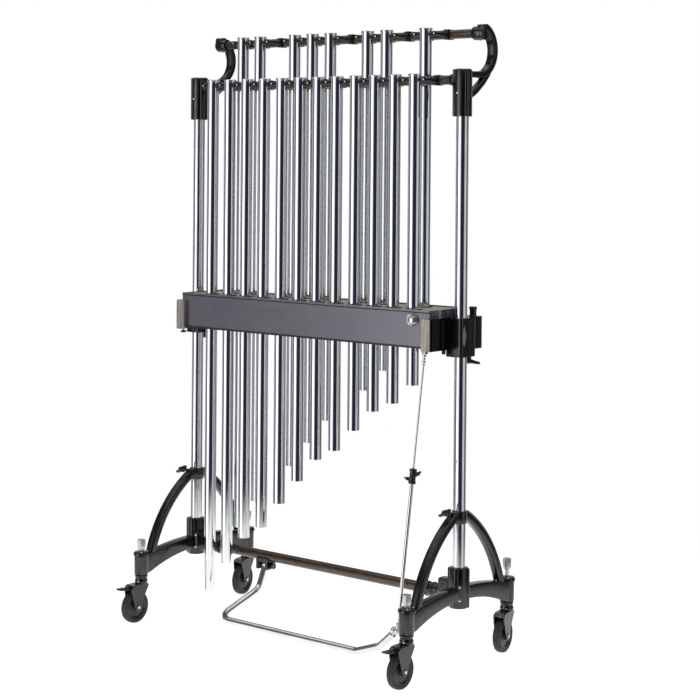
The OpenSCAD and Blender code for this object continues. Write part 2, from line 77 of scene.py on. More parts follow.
CAMERA_AT = (3.594, -4.1795, 1.503)
CAMERA_PITCH = radians(-0.08)
CAMERA_ROLL = radians(0.47)
LENS = 89.7
SENSOR = 36
PICTURE_SHIFT = -0.2655        # the picture is taken from the lower part of the lens's view


def make_camera():
    pitch, roll = CAMERA_PITCH, CAMERA_ROLL
    forward = Vector((-sin(VIEW_TURN) * cos(pitch), cos(VIEW_TURN) * cos(pitch), sin(pitch)))
    right = Vector((cos(VIEW_TURN), sin(VIEW_TURN), 0))
    up = right.cross(forward)
    columns = (right * cos(roll) + up * sin(roll), up * cos(roll) - right * sin(roll), -forward)
    data = bpy.data.cameras.new("camera")
    data.lens = LENS
    data.sensor_width = SENSOR
    data.shift_y = PICTURE_SHIFT
    camera = bpy.data.objects.new("camera", data)
    bpy.context.scene.collection.objects.link(camera)
    camera.matrix_world = Matrix(columns).transposed().to_4x4()
    camera.matrix_world.translation = CAMERA_AT
    bpy.context.scene.camera = camera


# What stands around the studio, by the angle to the right of the camera: (degrees, colour)
STUDIO_BANDS = [
    (-180, (0.50, 0.52, 0.52)), (-130, (0.45, 0.46, 0.46)), (-109, (0.24, 0.24, 0.26)),
    (-104, (0.15, 0.15, 0.17)), (-82, (0.16, 0.16, 0.19)), (-74, (1.1, 1.1, 1.1)),
    (-64, (1.2, 1.2, 1.2)), (-62, (3.0, 2.9, 2.7)), (-52, (3.0, 2.9, 2.7)), (-50, (1.2, 1.2, 1.2)),
    (-37, (1.1, 1.1, 1.1)), (-27, (0.42, 0.40, 0.45)), (-19, (0.022, 0.019, 0.036)),
    (37, (0.026, 0.024, 0.044)), (47, (0.54, 0.61, 0.60)), (80, (0.64, 0.69, 0.68)),
    (87, (0.08, 0.07, 0.09)), (112, (0.11, 0.10, 0.12)), (135, (0.42, 0.43, 0.43)),
    (180, (0.50, 0.52, 0.52))]
# What hangs overhead, by the height a ray climbs: dark at first, with a soft box in the middle
CEILING = [(0.30, (0.45, 0.44, 0.42)), (0.46, (0.09, 0.085, 0.09)), (0.62, (0.09, 0.085, 0.09)),
           (0.76, (0.85, 0.85, 0.83)), (0.95, (0.95, 0.95, 0.92))]
CEILING_EDGE = (0.30, 0.48)    # between these heights the panels give way to the ceiling
WHITE = (1, 1, 1, 1)
COLOUR_A, COLOUR_B, COLOUR_OUT = 6, 7, 2      # colour sockets of a Mix node


def set_stops(ramp, stops):
    """Gives a colour ramp its (position, colour) stops."""
    elements = ramp.color_ramp.elements
    while len(elements) < len(stops):
        elements.new(0.5)
    for element, (at, colour) in zip(elements, stops):
        element.position = at
        element.color = (*colour, 1)


def make_world():
    """White to the camera; to the object, upright panels and dark gaps under a bright ceiling."""
    world = bpy.data.worlds.new("studio")
    bpy.context.scene.world = world
    world.use_nodes = True
    nodes, links = world.node_tree.nodes, world.node_tree.links
    nodes.clear()
    coord = nodes.new("ShaderNodeTexCoord")
    turn = nodes.new("ShaderNodeVectorRotate")
    turn.rotation_type = "Z_AXIS"
    turn.inputs["Angle"].default_value = pi / 2 - VIEW_TURN
    split = nodes.new("ShaderNodeSeparateXYZ")
    angle = nodes.new("ShaderNodeMath")
    angle.operation = "ARCTAN2"
    share = nodes.new("ShaderNodeMapRange")
    share.inputs["From Min"].default_value = -pi
    share.inputs["From Max"].default_value = pi
    bands = nodes.new("ShaderNodeValToRGB")
    set_stops(bands, [((at + 180) / 360, colour) for at, colour in STUDIO_BANDS])
    height = nodes.new("ShaderNodeMapRange")
    height.interpolation_type = "SMOOTHSTEP"
    height.inputs["From Min"].default_value = CEILING_EDGE[0]
    height.inputs["From Max"].default_value = CEILING_EDGE[1]
    dome = nodes.new("ShaderNodeMix")
    dome.data_type = "RGBA"
    overhead = nodes.new("ShaderNodeValToRGB")
    set_stops(overhead, CEILING)
    ray = nodes.new("ShaderNodeLightPath")
    shown = nodes.new("ShaderNodeMix")
    shown.data_type = "RGBA"
    shown.inputs[COLOUR_B].default_value = WHITE
    back = nodes.new("ShaderNodeBackground")
    out = nodes.new("ShaderNodeOutputWorld")
    links.new(coord.outputs["Generated"], turn.inputs["Vector"])
    links.new(turn.outputs["Vector"], split.inputs["Vector"])
    links.new(split.outputs["Y"], angle.inputs[0])
    links.new(split.outputs["X"], angle.inputs[1])
    links.new(angle.outputs[0], share.inputs["Value"])
    links.new(share.outputs[0], bands.inputs["Fac"])
    links.new(split.outputs["Z"], height.inputs["Value"])
    links.new(height.outputs[0], dome.inputs[0])
    links.new(split.outputs["Z"], overhead.inputs["Fac"])
    links.new(overhead.outputs["Color"], dome.inputs[COLOUR_B])
    links.new(bands.outputs["Color"], dome.inputs[COLOUR_A])
    links.new(ray.outputs["Is Camera Ray"], shown.inputs[0])
    links.new(dome.outputs[COLOUR_OUT], shown.inputs[COLOUR_A])
    links.new(shown.outputs[COLOUR_OUT], back.inputs["Color"])
    links.new(back.outputs[0], out.inputs["Surface"])


LAMP_TARGET = Vector((0, 0, 1))


def make_light(name, at, size, power):
    """A soft lamp that lights the object but doesn't show in the chrome."""
    data = bpy.data.lights.new(name, "AREA")
    data.size = size
    data.energy = power
    lamp = bpy.data.objects.new(name, data)
    bpy.context.scene.collection.objects.link(lamp)
    lamp.location = at
    lamp.rotation_euler = (LAMP_TARGET - Vector(at)).to_track_quat("-Z", "Y").to_euler()
    lamp.visible_glossy = False


FLOOR_R = 4.2
FLOOR_DROP = 0.0005
FLOOR_FADE = (0.7, 2.3)        # it thins out between these distances from the middle
FLOOR_GLOW = 0.94
FLOOR_GREY = (0.30, 0.30, 0.30, 1)


def make_floor():
    """A pale floor that glows like a lit backdrop and fades out with distance."""
    bm = bmesh.new()
    bmesh.ops.create_circle(bm, cap_ends=True, segments=96, radius=FLOOR_R)
    mesh = bpy.data.meshes.new("floor")
    bm.to_mesh(mesh)
    bm.free()
    floor = bpy.data.objects.new("floor", mesh)
    bpy.context.scene.collection.objects.link(floor)
    floor.location.z = -FLOOR_DROP
    mat = bpy.data.materials.new("floor")
    mat.use_nodes = True
    nodes, links = mat.node_tree.nodes, mat.node_tree.links
    nodes.clear()
    coord = nodes.new("ShaderNodeTexCoord")
    reach = nodes.new("ShaderNodeVectorMath")
    reach.operation = "LENGTH"
    fade = nodes.new("ShaderNodeMapRange")
    fade.interpolation_type = "SMOOTHSTEP"
    fade.inputs["From Min"].default_value = FLOOR_FADE[0]
    fade.inputs["From Max"].default_value = FLOOR_FADE[1]
    glow = nodes.new("ShaderNodeEmission")
    glow.inputs["Strength"].default_value = FLOOR_GLOW
    matt = nodes.new("ShaderNodeBsdfDiffuse")
    matt.inputs["Color"].default_value = FLOOR_GREY
    both = nodes.new("ShaderNodeAddShader")
    clear = nodes.new("ShaderNodeBsdfTransparent")
    mix = nodes.new("ShaderNodeMixShader")
    out = nodes.new("ShaderNodeOutputMaterial")
    links.new(coord.outputs["Object"], reach.inputs[0])
    links.new(reach.outputs["Value"], fade.inputs["Value"])
    links.new(glow.outputs[0], both.inputs[0])
    links.new(matt.outputs[0], both.inputs[1])
    links.new(fade.outputs[0], mix.inputs[0])
    links.new(both.outputs[0], mix.inputs[1])
    links.new(clear.outputs[0], mix.inputs[2])
    links.new(mix.outputs[0], out.inputs["Surface"])
    mesh.materials.append(mat)


make_camera()
make_world()
make_light("key", (-2.2, -3.2, 3.4), 2.4, 30)
make_light("fill", (3.4, -2.4, 2.6), 2.0, 25)
make_light("back", (1.0, 3.4, 3.0), 2.5, 20)
make_floor()
bpy.context.scene.view_settings.view_transform = "Standard"


# ---- Materials ----

COAT_ROUGHNESS = 0.12
WEAR_REACH = 0.0012            # how far in from an edge the wear shows
WEAR_TURN = (0.97, 0.80)       # agreement of rounded and flat normals where wear starts and is full


def material(name, colour, second, patch, roughness, spread, grain, depth, metallic=0.0,
             stretch=(1, 1, 1), rounded=0.0, wear=None, coat=0.0, sheen=0.0, wave=None):
    """A surface whose colour drifts in patches, whose gloss varies, and whose grain is real bump.

    patch and grain are noise scales per metre, depth is the bump's height in metres, rounded
    softens hard edges, wear is the colour that shows along edges, and wave adds fine ribs."""
    mat = bpy.data.materials.new(name)
    mat.use_nodes = True
    nodes, links = mat.node_tree.nodes, mat.node_tree.links
    shader = nodes["Principled BSDF"]
    shader.inputs["Metallic"].default_value = metallic
    shader.inputs["Coat Weight"].default_value = coat
    shader.inputs["Coat Roughness"].default_value = COAT_ROUGHNESS
    shader.inputs["Sheen Weight"].default_value = sheen
    coord = nodes.new("ShaderNodeTexCoord")
    mapping = nodes.new("ShaderNodeMapping")
    mapping.inputs["Scale"].default_value = stretch
    links.new(coord.outputs["Object"], mapping.inputs["Vector"])

    def noise(scale, detail):
        node = nodes.new("ShaderNodeTexNoise")
        node.inputs["Scale"].default_value = scale
        node.inputs["Detail"].default_value = detail
        links.new(mapping.outputs["Vector"], node.inputs["Vector"])
        return node.outputs["Fac"]

    drift = noise(patch, 4)
    mix = nodes.new("ShaderNodeMix")
    mix.data_type = "RGBA"
    mix.inputs[COLOUR_A].default_value = (*colour, 1)
    mix.inputs[COLOUR_B].default_value = (*second, 1)
    steep = nodes.new("ShaderNodeMapRange")
    steep.inputs["From Min"].default_value = 0.35
    steep.inputs["From Max"].default_value = 0.65
    links.new(drift, steep.inputs["Value"])
    links.new(steep.outputs[0], mix.inputs[0])
    shade = mix.outputs[COLOUR_OUT]
    gloss = nodes.new("ShaderNodeMapRange")
    gloss.inputs["From Min"].default_value = 0.3
    gloss.inputs["From Max"].default_value = 0.7
    gloss.inputs["To Min"].default_value = roughness - spread
    gloss.inputs["To Max"].default_value = roughness + spread
    links.new(noise(patch * 3, 5), gloss.inputs["Value"])
    links.new(gloss.outputs[0], shader.inputs["Roughness"])
    height = noise(grain, 3)
    if wave:
        ribs = nodes.new("ShaderNodeTexWave")
        ribs.inputs["Scale"].default_value = wave
        ribs.inputs["Distortion"].default_value = 1.5
        links.new(coord.outputs["Object"], ribs.inputs["Vector"])
        blend = nodes.new("ShaderNodeMath")
        blend.operation = "ADD"
        links.new(height, blend.inputs[0])
        links.new(ribs.outputs["Fac"], blend.inputs[1])
        height = blend.outputs[0]
    bump = nodes.new("ShaderNodeBump")
    bump.inputs["Distance"].default_value = depth
    links.new(height, bump.inputs["Height"])
    if rounded:
        soft = nodes.new("ShaderNodeBevel")
        soft.samples = 4
        soft.inputs["Radius"].default_value = rounded
        links.new(soft.outputs["Normal"], bump.inputs["Normal"])
    if wear:
        geometry = nodes.new("ShaderNodeNewGeometry")
        rim = nodes.new("ShaderNodeBevel")
        rim.samples = 4
        rim.inputs["Radius"].default_value = WEAR_REACH
        turned = nodes.new("ShaderNodeVectorMath")
        turned.operation = "DOT_PRODUCT"
        links.new(rim.outputs["Normal"], turned.inputs[0])
        links.new(geometry.outputs["Normal"], turned.inputs[1])
        edge = nodes.new("ShaderNodeMapRange")
        edge.inputs["From Min"].default_value = WEAR_TURN[0]
        edge.inputs["From Max"].default_value = WEAR_TURN[1]
        links.new(turned.outputs["Value"], edge.inputs["Value"])
        worn = nodes.new("ShaderNodeMix")
        worn.data_type = "RGBA"
        worn.inputs[COLOUR_B].default_value = (*wear, 1)
        links.new(edge.outputs[0], worn.inputs[0])
        links.new(shade, worn.inputs[COLOUR_A])
        shade = worn.outputs[COLOUR_OUT]
    links.new(shade, shader.inputs["Base Color"])
    links.new(bump.outputs["Normal"], shader.inputs["Normal"])
    return mat


LOOKS = {
    "chrome_tube": material("chrome_tube", (0.86, 0.87, 0.88), (0.80, 0.82, 0.84), 6, 0.05, 0.02,
                            500, 0.0000005, metallic=1.0, stretch=(1, 1, 0.05)),
    "chrome_bar": material("chrome_bar", (0.84, 0.85, 0.86), (0.74, 0.75, 0.77), 14, 0.08, 0.04,
                           700, 0.000002, metallic=1.0),
    "casting": material("casting", (0.036, 0.032, 0.033), (0.054, 0.047, 0.046), 60, 0.19, 0.05,
                        500, 0.00002, metallic=0.92, wear=(0.13, 0.115, 0.10), coat=0.5),
    "bronze_tube": material("bronze_tube", (0.085, 0.066, 0.054), (0.12, 0.093, 0.075), 50, 0.23,
                            0.06, 380, 0.00004, metallic=0.9, coat=0.3),
    "box_paint": material("box_paint", (0.25, 0.25, 0.285), (0.27, 0.27, 0.305), 9, 0.17, 0.03,
                          1300, 0.00001, metallic=0.75, wear=(0.38, 0.38, 0.40)),
    "tray_plate": material("tray_plate", (0.40, 0.37, 0.32), (0.46, 0.43, 0.37), 12, 0.45, 0.08,
                           1500, 0.00004, rounded=0.0006),
    "black_plastic": material("black_plastic", (0.008, 0.008, 0.010), (0.014, 0.014, 0.016), 40, 0.30,
                              0.10, 900, 0.00004, wear=(0.05, 0.05, 0.05)),
    "cord_nylon": material("cord_nylon", (0.05, 0.05, 0.055), (0.12, 0.12, 0.13), 300, 0.6, 0.1,
                           1500, 0.0002, wave=900, sheen=0.2),
    "felt": material("felt", (0.20, 0.022, 0.028), (0.30, 0.045, 0.05), 90, 0.92, 0.05, 1400, 0.0006,
                     sheen=0.6),
    "bright_steel": material("bright_steel", (0.78, 0.78, 0.76), (0.66, 0.66, 0.65), 70, 0.26, 0.08,
                             800, 0.00002, metallic=1.0),
    "rubber_wheel": material("rubber_wheel", (0.014, 0.014, 0.016), (0.026, 0.026, 0.028), 45, 0.60,
                             0.12, 700, 0.0001, wear=(0.07, 0.07, 0.07)),
    # The pale colour is painted light: the bracket's black paint where its front catches the lamps.
    "flange_painted_light": material("flange_painted_light", (0.46, 0.43, 0.39), (0.27, 0.25, 0.23), 150, 0.34, 0.1,
                               900, 0.00008, metallic=0.6, stretch=(1, 1, 0.08)),
}


# ---- Shapes ----

def along(origin, direction):
    """Matrix that lays local Z along a direction, from an origin."""
    turn = Vector(direction).to_track_quat("Z", "Y").to_matrix().to_4x4()
    return Matrix.Translation(Vector(origin)) @ turn


def add_lathe(bm, profile, origin=(0, 0, 0), direction=(0, 0, 1), sides=48, closed=False, flutes=None):
    """Turns (radius, height) points around an axis. flutes is (count, share of the radius)."""
    place = along(origin, direction)
    rings = []
    for radius, height in profile:
        if radius < 1e-6:
            rings.append([bm.verts.new(place @ Vector((0, 0, height)))])
            continue
        ring = []
        for i in range(sides):
            angle = 2 * pi * i / sides
            r = radius
            if flutes:
                r *= 1 - flutes[1] * (0.5 + 0.5 * cos(flutes[0] * angle)) ** 3
            ring.append(bm.verts.new(place @ Vector((r * cos(angle), r * sin(angle), height))))
        rings.append(ring)
    pairs = list(zip(rings, rings[1:]))
    if closed:
        pairs.append((rings[-1], rings[0]))
    for low, high in pairs:
        for i in range(sides):
            j = (i + 1) % sides
            if len(low) == 1:
                bm.faces.new((low[0], high[i], high[j]))
            elif len(high) == 1:
                bm.faces.new((low[i], low[j], high[0]))
            else:
                bm.faces.new((low[i], low[j], high[j], high[i]))


def rod_profile(radius, length, edge):
    """A solid round bar with rounded ends."""
    c = edge * 0.3
    return [(0, 0), (radius - edge, 0), (radius - c, c), (radius, edge), (radius, length - edge),
            (radius - c, length - c), (radius - edge, length), (0, length)]


def add_rod(bm, a, b, radius, edge=1.0, sides=32):
    run = Vector(b) - Vector(a)
    add_lathe(bm, rod_profile(radius, run.length, edge), a, run, sides)


def add_block(bm, lo, hi, place=Matrix.Identity(4)):
    corners = [place @ Vector((x, y, z)) for z in (lo[2], hi[2]) for y in (lo[1], hi[1])
               for x in (lo[0], hi[0])]
    v = [bm.verts.new(c) for c in corners]
    for face in ((0, 2, 3, 1), (4, 5, 7, 6), (0, 1, 5, 4), (2, 6, 7, 3), (0, 4, 6, 2), (1, 3, 7, 5)):
        bm.faces.new([v[i] for i in face])


def add_prism(bm, outline, lift, depth, place=Matrix.Identity(4)):
    """An outline in local X and Y, from height lift to lift + depth."""
    low = [bm.verts.new(place @ Vector((x, y, lift))) for x, y in outline]
    high = [bm.verts.new(place @ Vector((x, y, lift + depth))) for x, y in outline]
    bm.faces.new(low[::-1])
    bm.faces.new(high)
    for i in range(len(outline)):
        j = (i + 1) % len(outline)
        bm.faces.new((low[i], low[j], high[j], high[i]))


# Local X becomes Y, local Y becomes Z, and local Z becomes X
YZ = Matrix(((0, 0, 1, 0), (1, 0, 0, 0), (0, 1, 0, 0), (0, 0, 0, 1)))


def rounded_box(lo, hi, r, steps=5):
    """The outline of a rectangle with rounded corners."""
    corners = [(hi[0] - r, hi[1] - r, 0), (lo[0] + r, hi[1] - r, 1), (lo[0] + r, lo[1] + r, 2),
               (hi[0] - r, lo[1] + r, 3)]
    return [(x + r * cos(pi / 2 * (q + i / steps)), y + r * sin(pi / 2 * (q + i / steps)))
            for x, y, q in corners for i in range(steps + 1)]


def rounded_path(points, radii, steps=10):
    """A path whose inner corners are arcs of the given radii."""
    path = [Vector(points[0])]
    for i, radius in enumerate(radii, start=1):
        corner = Vector(points[i])
        came = (corner - Vector(points[i - 1])).normalized()
        goes = (Vector(points[i + 1]) - corner).normalized()
        bend = came.angle(goes)
        start = corner - came * radius * tan(bend / 2)
        axis = came.cross(goes).normalized()
        centre = start + axis.cross(came) * radius
        for k in range(steps + 1):
            path.append(centre + Matrix.Rotation(bend * k / steps, 3, axis) @ (start - centre))
    path.append(Vector(points[-1]))
    return path


def add_sweep(bm, path, radius, sides=24):
    """A round bar along a path, with flat ends."""
    path = [Vector(p) for p in path]
    side = None
    rings = []
    for i, point in enumerate(path):
        ahead = (path[min(i + 1, len(path) - 1)] - path[max(i - 1, 0)]).normalized()
        side = ahead.orthogonal() if side is None else side - ahead * side.dot(ahead)
        side.normalize()
        other = ahead.cross(side)
        rings.append([bm.verts.new(point + (side * cos(t) + other * sin(t)) * radius)
                      for t in (2 * pi * k / sides for k in range(sides))])
    for a, b in zip(rings, rings[1:]):
        for k in range(sides):
            j = (k + 1) % sides
            bm.faces.new((a[k], a[j], b[j], b[k]))
    bm.faces.new(rings[0][::-1])
    bm.faces.new(rings[-1])


SHARP = radians(32)


def piece(name, bm, look, body, replaces=(), place=PLACE, edge=0.0, segments=2):
    """Makes a finished piece from a mesh in millimetres: normals, rounded edges, material, body."""
    bmesh.ops.recalc_face_normals(bm, faces=bm.faces)
    bm.transform(place)
    for face in bm.faces:
        face.smooth = True
    for line in bm.edges:
        if len(line.link_faces) == 2 and line.calc_face_angle(0) > SHARP:
            line.smooth = False
    mesh = bpy.data.meshes.new(name)
    bm.to_mesh(mesh)
    bm.free()
    obj = bpy.data.objects.new(name, mesh)
    bpy.context.scene.collection.objects.link(obj)
    mesh.materials.append(LOOKS[look])
    if edge:
        bevel = obj.modifiers.new("edges", "BEVEL")
        bevel.width = edge * MM
        bevel.segments = segments
        bevel.limit_method = "ANGLE"
        bevel.angle_limit = SHARP
        bevel.harden_normals = True
    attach(obj, body)
    if replaces:
        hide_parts(*replaces)
    return obj


# ---- Carried-over CAD nodes ----

node_slots = {entry["node"]: entry["material_slot"] for entry in frame["record"]["subparts"]}
for node, obj in frame["nodes"].items():
    look = LOOKS[node_slots[node]]
    for slot in obj.material_slots:
        slot.material = look
    if not obj.material_slots:
        obj.data.materials.append(look)


# ---- Tubes ----

CAP_H = 6
CAP_LIP = 2                    # how far the cap stands out from the tube
NECK = 0.8                     # depth of the turned neck under the cap
PLUG = 22                      # depth to which the cap closes the bore
WALL = 1.5


def make_tube(node):
    """An open tube with its striking cap: a rounded crown over a turned neck."""
    lo, hi = local(node)
    cap_r = (hi.x - lo.x) / 2
    tube_r = cap_r - CAP_LIP
    inner_r = tube_r - WALL
    length = hi.z - lo.z
    profile = [(0, -PLUG), (inner_r, -PLUG), (inner_r, 0.4 - length), (inner_r + 0.4, -length),
               (tube_r - 0.4, -length), (tube_r, 0.4 - length), (tube_r, -CAP_H - 3),
               (tube_r - NECK, -CAP_H - 2.6), (tube_r - NECK, -CAP_H), (cap_r - 0.6, -CAP_H),
               (cap_r, 0.6 - CAP_H), (cap_r, -2.2), (cap_r - 0.5, -1.1), (cap_r - 1.6, -0.3),
               (cap_r - 3, 0), (0, 0)]
    bm = bmesh.new()
    add_lathe(bm, profile, ((lo.x + hi.x) / 2, (lo.y + hi.y) / 2, hi.z), sides=72)
    piece(node + "_polished", bm, "chrome_tube", node, (node,))


TUBES = sorted(n for n in frame["nodes"] if n.startswith("tube_") and n != "tube_pegs")
for node in TUBES:
    make_tube(node)


# ---- Pedal ----

PEDAL_R = 11
PEDAL_HINGE = Vector((-229, 0, 188))
PEDAL_EYE = Vector((475.8, local("pedal")[0].y + PEDAL_R, 142))
PEDAL_KNEE = (PEDAL_HINGE.x, -34, 114)
PEDAL_FOOT_Z = 57              # height of the length that is stepped on
PEDAL_RISE = (336, 424)        # where the right end starts to rise, and where it turns upright
PEDAL_BENDS = (40, 52, 60, 60)


def make_pedal():
    """One bent bar: down from the hinge, forward, along the front and up to the pull rod."""
    front = PEDAL_EYE.y
    corners = [PEDAL_HINGE, PEDAL_KNEE, (PEDAL_HINGE.x, front, PEDAL_FOOT_Z),
               (PEDAL_RISE[0], front, PEDAL_FOOT_Z), (PEDAL_RISE[1], front, PEDAL_FOOT_Z + 31),
               (PEDAL_EYE.x - 4, front, PEDAL_EYE.z - 10)]
    bm = bmesh.new()
    add_sweep(bm, rounded_path(corners, PEDAL_BENDS), PEDAL_R)
    add_rod(bm, PEDAL_HINGE - 12 * ACROSS, PEDAL_HINGE + 12 * ACROSS, PEDAL_R + 2, 2)
    add_rod(bm, PEDAL_EYE - 4 * ACROSS, PEDAL_EYE + 4 * ACROSS, 12, 1)
    piece("pedal_bar", bm, "chrome_bar", "pedal", ("pedal",))


make_pedal()


# ---- Heads ----

def add_ribbon(bm, path, widths, thicks, x, corner=6, steps=4):
    """A bar along a path of (y, z) points whose section is a rounded rectangle around x."""
    rings = []
    for i, point in enumerate(path):
        y, z = point
        before, after = path[max(i - 1, 0)], path[min(i + 1, len(path) - 1)]
        run = Vector((after[0] - before[0], after[1] - before[1])).normalized()
        share = i / (len(path) - 1)
        w = widths[0] + (widths[1] - widths[0]) * share
        t = thicks[i] if len(thicks) == len(path) else thicks[0] + (thicks[1] - thicks[0]) * share
        r = min(corner, w * 0.45, t * 0.45)
        section = rounded_box((-w / 2, -t / 2), (w / 2, t / 2), r, steps)
        rings.append([bm.verts.new((x + a, y - run.y * b, z + run.x * b)) for a, b in section])
    count = len(rings[0])
    for low, high in zip(rings, rings[1:]):
        for k in range(count):
            j = (k + 1) % count
            bm.faces.new((low[k], low[j], high[j], high[k]))
    bm.faces.new(rings[0][::-1])
    bm.faces.new(rings[-1])


def arc_points(centre, radius, start, end, count):
    """Points (y, z) on an arc, with angles in degrees."""
    return [(centre[0] + radius * cos(radians(start + (end - start) * i / count)),
             centre[1] + radius * sin(radians(start + (end - start) * i / count)))
            for i in range(count + 1)]


def bolt_profile(radius, height):
    """A domed screw head."""
    return [(0, 0), (radius, 0), (radius, height * 0.45), (radius * 0.8, height * 0.8),
            (radius * 0.45, height * 0.96), (0, height)]


def tube_wall_profile(inner, outer, low, high, edge):
    """The closed section of a sleeve with rounded rims."""
    c = edge * 0.3
    return [(inner, low), (outer - edge, low), (outer - c, low + c), (outer, low + edge),
            (outer, high - edge), (outer - c, high - c), (outer - edge, high), (inner, high)]


SLEEVE_R = 28.5                # outside of the sleeves and sockets around the posts
SLEEVE_BORE = POST_R + 0.4
SLEEVE_TOP = 1782
RAIL_BORE = 14.3
ARM_CENTRE = (78, 1843)        # (y, z) of the hooked arm's bend
ARM_R = 75
ARM_STEPS = 30
BOSS_R = 21                    # the arm's end that holds the rear rail


def make_head(side_name):
    """Sleeve, rail sockets, hooked arm and strut of one cast head."""
    side = SIDES[side_name]
    x = side * POST_X
    low = local("head_" + side_name)[0].z
    rail_z = centre_of("front_rail").z
    rear = centre_of("rear_rail")
    inward = (-side, 0, 0)
    bm = bmesh.new()
    add_lathe(bm, tube_wall_profile(SLEEVE_BORE, SLEEVE_R, low, SLEEVE_TOP - 4, 2.5), (x, 0, 0),
              sides=64, closed=True)
    add_lathe(bm, [(0, 0), (SLEEVE_R - 1, 0), (SLEEVE_R - 1, 3), (SLEEVE_R - 4, 6), (0, 6.5)],
              (x, 0, SLEEVE_TOP - 6.5), sides=64)
    for turn in (-60, 60):
        bead = (x + 24.5 * sin(radians(turn)), -24.5 * cos(radians(turn)))
        add_lathe(bm, rod_profile(6, SLEEVE_TOP - low - 2, 2), (*bead, low + 1), sides=24)
    for radius, start, end, edge in ((18, 18, 40, 1.5), (16.4, 40, 44, 1)):
        add_lathe(bm, tube_wall_profile(RAIL_BORE, radius, start, end, edge), (x, 0, rail_z), inward,
                  sides=40, closed=True)
    hook = [(8, 1768), (40, 1767.5)] + arc_points(ARM_CENTRE, ARM_R, -96, 74, ARM_STEPS)
    hook.append((rear.y - 3, rear.z + 6))
    thick = [20, 19] + [19 + 5 * sin(pi * i / 36) for i in range(ARM_STEPS + 1)] + [26]
    add_ribbon(bm, hook, (26, 31), thick, x, 6)
    strut = [(20, 1698), (56, 1717), (92, 1744), (120, 1771), (139, 1800), (148, 1828)]
    add_ribbon(bm, strut, (24, 24), (20, 18), x, 6)
    boss = (x - side * 10, rear.y, rear.z)
    add_lathe(bm, tube_wall_profile(RAIL_BORE, BOSS_R, -10, 22, 3), boss, inward, sides=48, closed=True)
    add_lathe(bm, [(0, -22), (15, -22), (19, -20.5), (BOSS_R, -17), (BOSS_R, -9.5), (0, -9.5)], boss,
              inward, sides=48)
    piece("head_%s_cast" % side_name, bm, "casting", "frame", ("head_" + side_name,), edge=0.6)
    bm = bmesh.new()
    for turn in (30, 150, 270):
        at = (x + 18 * cos(radians(turn)), 18 * sin(radians(turn)), SLEEVE_TOP - 1)
        add_lathe(bm, bolt_profile(3.4, 2.6), at, sides=20)
    add_lathe(bm, bolt_profile(3.2, 3), (x, 0.6 - SLEEVE_R, rail_z - 40), (0, -1, 0), sides=20)
    add_lathe(bm, bolt_profile(3.2, 3), (boss[0], boss[1], boss[2] - 20.5), (0, 0, -1), sides=20)
    piece("head_%s_screws" % side_name, bm, "bright_steel", "frame")


for name in SIDES:
    make_head(name)


# ---- Stand ----

BEAM_HALF_W = 18
BEAM_TOP = (242, 1056)      # height of the crown and radius of the curve above
BEAM_UNDER = (203, 600)
STEM_LO, STEM_HI = local("base_beam_right")
STEM_R = 23
STEM_REACH = STEM_HI.y - STEM_R
SOCKET_TOP = STEM_HI.z
STEM_BOTTOM = STEM_LO.z
STEM_TOP = 214
SOCKET_BOTTOM = 180
BARREL_R = 9.5                 # the barrels that clamp the socket around the post
BARREL_AROUND = 24


def sag(top, radius, y):
    """Height of a shallow arch at a distance from its crown."""
    return top - radius + sqrt(radius * radius - y * y)


def make_base(side_name):
    """Arched beam with its stems, the post's socket and the socket's clamping barrel."""
    x = SIDES[side_name] * POST_X
    bm = bmesh.new()
    ys = [-STEM_REACH + 2 * STEM_REACH * i / 48 for i in range(49)]
    middle = [(y, (sag(*BEAM_TOP, y) + max(sag(*BEAM_UNDER, y), STEM_BOTTOM + 3)) / 2) for y in ys]
    thick = [sag(*BEAM_TOP, y) - max(sag(*BEAM_UNDER, y), STEM_BOTTOM + 3) for y in ys]
    add_ribbon(bm, middle, (2 * BEAM_HALF_W, 2 * BEAM_HALF_W), thick, x, 5)
    for s in (-1, 1):
        add_lathe(bm, [(0, STEM_BOTTOM), (STEM_R - 4, STEM_BOTTOM), (STEM_R - 1, STEM_BOTTOM + 1.5),
                       (STEM_R, STEM_BOTTOM + 5), (STEM_R, STEM_TOP - 2), (STEM_R - 2, STEM_TOP),
                       (0, STEM_TOP)], (x, s * STEM_REACH, 0), sides=56)
    add_lathe(bm, tube_wall_profile(SLEEVE_BORE, SLEEVE_R, SOCKET_BOTTOM, SOCKET_TOP, 2.5), (x, 0, 0),
              sides=64, closed=True)
    for turn in (-150, -75, 20):
        out = (BARREL_AROUND * cos(radians(turn)), BARREL_AROUND * sin(radians(turn)))
        add_lathe(bm, [(0, 0), (9, 0), (BARREL_R, 2), (BARREL_R, 112), (7, 117), (0, 118)],
                  (x + out[0], out[1], SOCKET_BOTTOM + 2), sides=28)
    piece("base_%s_cast" % side_name, bm, "casting", "stand", ("base_beam_" + side_name,), edge=0.6)
    bm = bmesh.new()
    out = Vector((cos(radians(-48)), sin(radians(-48)), 0))
    for z in (206, 246):
        add_lathe(bm, bolt_profile(4.2, 3.6), Vector((x, 0, z)) + 27 * out, out, sides=20)
    add_lathe(bm, bolt_profile(5, 4), (x, 196, sag(*BEAM_TOP, 196) - 0.4), sides=24)
    piece("base_%s_screws" % side_name, bm, "bright_steel", "stand")


BRACE_CENTRE = (-172, 106)     # (y, z) of the front leg's bend; the rear leg mirrors it
BRACE_R = 398.5
BRACE_STEPS = 40
BRACE_FOOT = 206
COLLAR = (430, 468)            # bottom and top of the collar that joins the legs


